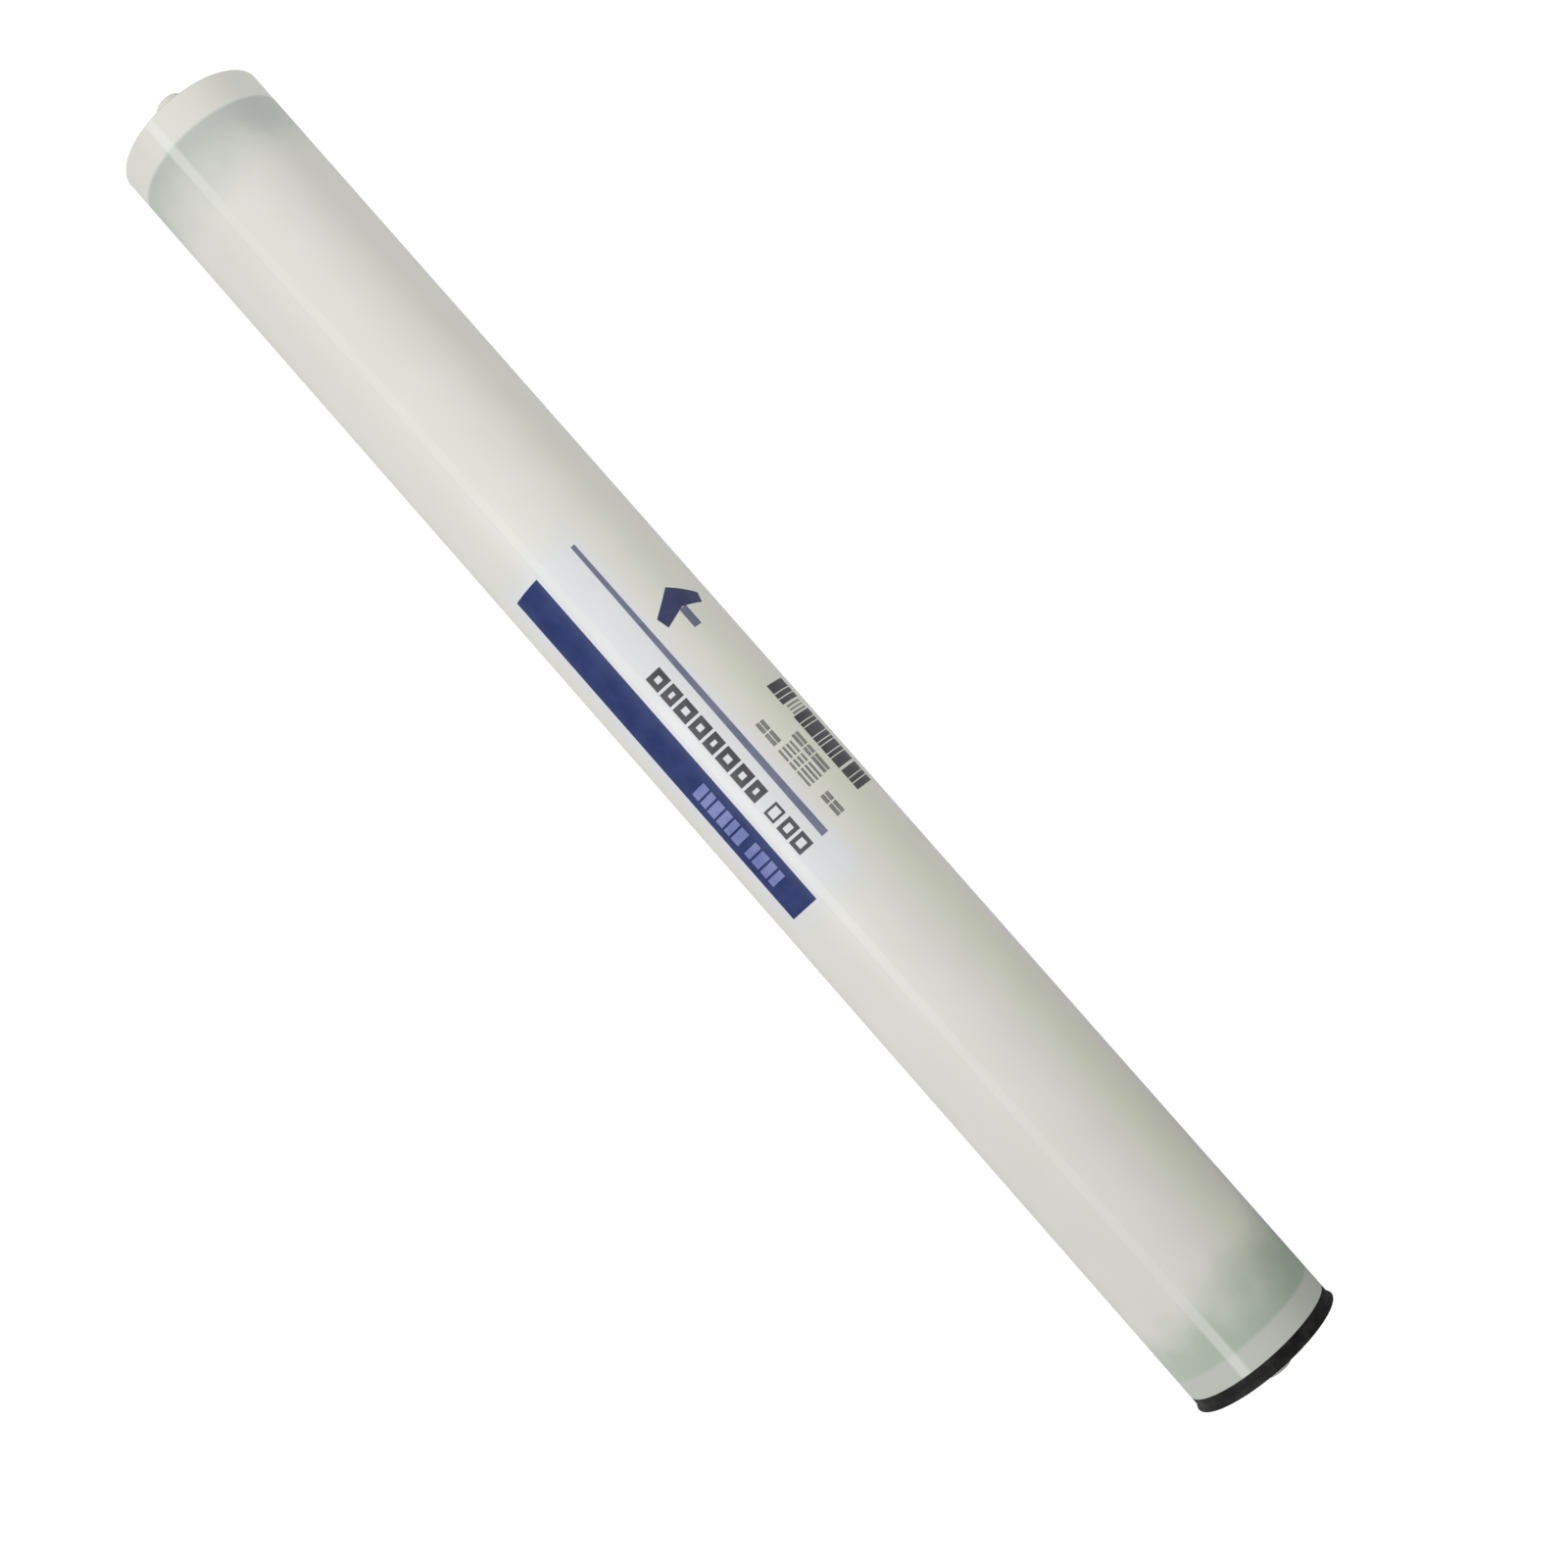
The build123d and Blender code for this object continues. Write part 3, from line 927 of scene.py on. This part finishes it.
blue_ink = ink("blue_ink", srgb(32, 44, 90), srgb(48, 60, 108))
rule_ink = ink("rule_ink", srgb(98, 100, 122), srgb(116, 118, 138))
arrow_ink = ink("arrow_ink", srgb(52, 56, 88), srgb(70, 74, 106))
pale_ink = ink("pale_ink", srgb(98, 108, 158), srgb(128, 136, 182))
black_ink = ink("black_ink", srgb(56, 56, 60), srgb(86, 86, 90))
grey_ink = ink("grey_ink", srgb(112, 114, 110), srgb(140, 142, 136))
print("inks:", [m.name for m in (blue_ink, rule_ink, arrow_ink, pale_ink, black_ink, grey_ink)])

# %% Lay marks on the wrap
INK_SKIN = 0.03
INK_LIFT = 0.02
INK_SMOOTH_ANGLE = math.radians(30)
STEP_ANGLE = 1.0


def ink_marks(name, marks, finish, lift=0.0):
    """Marks of (x start, x end, angle start, angle end), in mm and degrees, as one thin skin."""
    bpy.ops.object.select_all(action="DESELECT")
    radius = WRAP_RADIUS + (INK_LIFT + lift) * MM
    made = []
    for x_start, x_end, turn_start, turn_end in marks:
        bpy.ops.mesh.primitive_plane_add(size=1 * MM)
        mark = bpy.context.object
        start = math.radians(turn_start)
        for vertex, x in zip(mark.data.vertices, (x_start, x_end, x_start, x_end)):
            vertex.co = (x * MM, radius * math.sin(start), radius * math.cos(start))
        bpy.ops.object.mode_set(mode="EDIT")
        bpy.ops.mesh.select_all(action="SELECT")
        bpy.ops.mesh.remove_doubles(threshold=MERGE_GAP)
        steps = max(2, round(abs(turn_end - turn_start) / STEP_ANGLE))
        sweep = math.radians(turn_end - turn_start)
        bpy.ops.mesh.spin(steps=steps, angle=sweep, center=(0, 0, 0), axis=(1, 0, 0))
        bpy.ops.object.mode_set(mode="OBJECT")
        made.append(mark)
    return finish_marks(join_as(name, made), finish)


def finish_marks(piece, finish):
    """Clean a skin of ink, face it outwards, give it its thickness and its ink."""
    only_select(piece)
    bpy.ops.object.mode_set(mode="EDIT")
    bpy.ops.mesh.select_all(action="SELECT")
    bpy.ops.mesh.delete_loose()
    bpy.ops.mesh.select_all(action="SELECT")
    bpy.ops.mesh.normals_make_consistent(inside=False)
    bpy.ops.object.mode_set(mode="OBJECT")
    inward = sum(1 for f in piece.data.polygons if f.normal.dot(Vector((0, f.center.y, f.center.z))) < 0)
    if inward > len(piece.data.polygons) / 2:
        piece.data.flip_normals()
    skin = piece.modifiers.new("skin", "SOLIDIFY")
    skin.thickness = INK_SKIN * MM
    skin.offset = 1
    bpy.ops.object.modifier_apply(modifier=skin.name)
    bpy.ops.object.shade_smooth_by_angle(angle=INK_SMOOTH_ANGLE)
    print(f"{piece.name}: {len(piece.data.polygons)} faces")
    return dress(piece, finish, "wrap_film")


print("mark helpers ready")

# %% [markdown]
# ## Marks in place
# Places come as millimetres along X and degrees round the wrap. The band carries two runs of pale
# blocks, the title row has heavy and light frames, and the code is a row of bars. A pattern of
# widths that repeats is enough to give each row the rhythm of print.

# %% Rows of blocks
def row_of_blocks(start, end, low, high, widths, gap):
    """Blocks of the given widths in turn, from start to end along X, between two angles."""
    blocks = []
    x = start
    while x + widths[len(blocks) % len(widths)] <= end:
        width = widths[len(blocks) % len(widths)]
        blocks.append((x, x + width, low, high))
        x += width + gap
    return blocks


def open_blocks(blocks, stroke):
    """Each block as a frame of four strokes, as wide as given in millimetres."""
    marks = []
    turn = math.degrees(stroke * MM / WRAP_RADIUS)
    for start, end, low, high in blocks:
        marks += [(start, end, low, low + turn), (start, end, high - turn, high)]
        marks += [(start, start + stroke, low + turn, high - turn)]
        marks += [(end - stroke, end, low + turn, high - turn)]
    return marks


print("row helpers ready")

# %% Band and title
LABEL_START, LABEL_END = -125, 123
BAND_LOW, BAND_HIGH = -53, -26
RUN_LOW, RUN_HIGH = -46.5, -32.5
TITLE_LOW, TITLE_HIGH = -14.6, -2.2
HEAVY, MIDDLING, LIGHT = 3.4, 2.6, 1.6

ink_marks("print_band", [(LABEL_START, LABEL_END, BAND_LOW, BAND_HIGH)], blue_ink)

band_runs = row_of_blocks(29, 71, RUN_LOW, RUN_HIGH, (5.4, 4.6, 6.2), 1.6)
band_runs += row_of_blocks(75, 104, RUN_LOW, RUN_HIGH, (4.8, 6.2, 5.4), 1.6)
ink_marks("print_band_blocks", band_runs, pale_ink, INK_SKIN)

title = open_blocks(row_of_blocks(-38, 62, TITLE_LOW, TITLE_HIGH, (10.6, 9.4, 11.4), 1.9), HEAVY)
title += open_blocks([(65.5, 74, TITLE_LOW + 0.4, TITLE_HIGH - 0.6)], LIGHT)
title += open_blocks(row_of_blocks(77, 98, TITLE_LOW, TITLE_HIGH - 0.2, (9.2, 9.8), 1.9), MIDDLING)
ink_marks("print_title_blocks", title, black_ink)

# %% Code bars and small rows
CODE_LOW, CODE_HIGH = 48.5, 72
code_bars = row_of_blocks(10, 25, CODE_LOW, CODE_HIGH, (6.4, 3.2, 3.6), 0.7)
code_bars += row_of_blocks(34, 74.5, CODE_LOW, CODE_HIGH, (5.2, 2.6, 7.0, 3.6, 2.0), 0.7)
code_bars += row_of_blocks(76, 91, CODE_LOW, CODE_HIGH, (6.0, 3.0, 4.4), 0.7)
ink_marks("print_code_bars", code_bars, black_ink)

small = row_of_blocks(26.2, 33, CODE_LOW + 2, CODE_HIGH - 2, (1.4, 1.0), 1.5)
for angle in (20.3, 24.2):
    small += row_of_blocks(24, 41, angle, angle + 3.1, (7.2, 8.4), 1.0)
    small += row_of_blocks(80, 96, angle + 1.2, angle + 4.3, (6.0, 8.2), 1.0)
    small += row_of_blocks(42, 78, angle + 15.2, angle + 18.1, (9, 6, 12), 1.0)
for angle in (20.2, 23.8, 27.4, 31):
    small += row_of_blocks(44, 72, angle, angle + 1.9, (8.4, 5.6, 11.2), 1.2)
ink_marks("print_small_rows", small, grey_ink)

# %% [markdown]
# ## Marks with slanted sides
# The rule swells slowly from the far end to the feed end, and the arrow shows the way of the flow.
# Their sides are slanted, so they are drawn flat, as a filled outline with a corner at each point,
# cut into small triangles and then rolled onto the wrap.

# %% Rule and arrow
OUTLINE_CUTS = 9


def ink_outline(name, outline, finish):
    """A filled outline of (x in mm, angle in degrees) corners, rolled onto the wrap."""
    bpy.ops.object.select_all(action="DESELECT")
    bpy.ops.mesh.primitive_circle_add(vertices=len(outline), radius=1 * MM, fill_type="NGON")
    mark = bpy.context.object
    mark.name = mark.data.name = name
    for vertex, (x, angle) in zip(mark.data.vertices, outline):
        vertex.co = (x * MM, math.radians(angle) * WRAP_RADIUS, 0)
    bpy.ops.object.mode_set(mode="EDIT")
    bpy.ops.mesh.select_all(action="SELECT")
    bpy.ops.mesh.quads_convert_to_tris()
    bpy.ops.mesh.subdivide(number_cuts=OUTLINE_CUTS)
    bpy.ops.object.mode_set(mode="OBJECT")
    radius = WRAP_RADIUS + INK_LIFT * MM
    for vertex in mark.data.vertices:
        turn = vertex.co.y / WRAP_RADIUS
        vertex.co = (vertex.co.x, radius * math.sin(turn), radius * math.cos(turn))
    return finish_marks(mark, finish)


rule = [(LABEL_START, 5.9), (98, 4.7), (98, 10.1), (LABEL_START, 9.1)]
arrow_head = [(-72.5, 38.5), (-60, 17.5), (-52, 20), (-57.5, 38.5), (-53.5, 57), (-60, 61)]
arrow_stem = [(-57, 35), (-43, 35), (-43, 42), (-57, 42)]
ink_outline("print_rule", rule, rule_ink)
ink_outline("print_flow_arrow", arrow_head, arrow_ink)
ink_outline("print_flow_stem", arrow_stem, rule_ink)
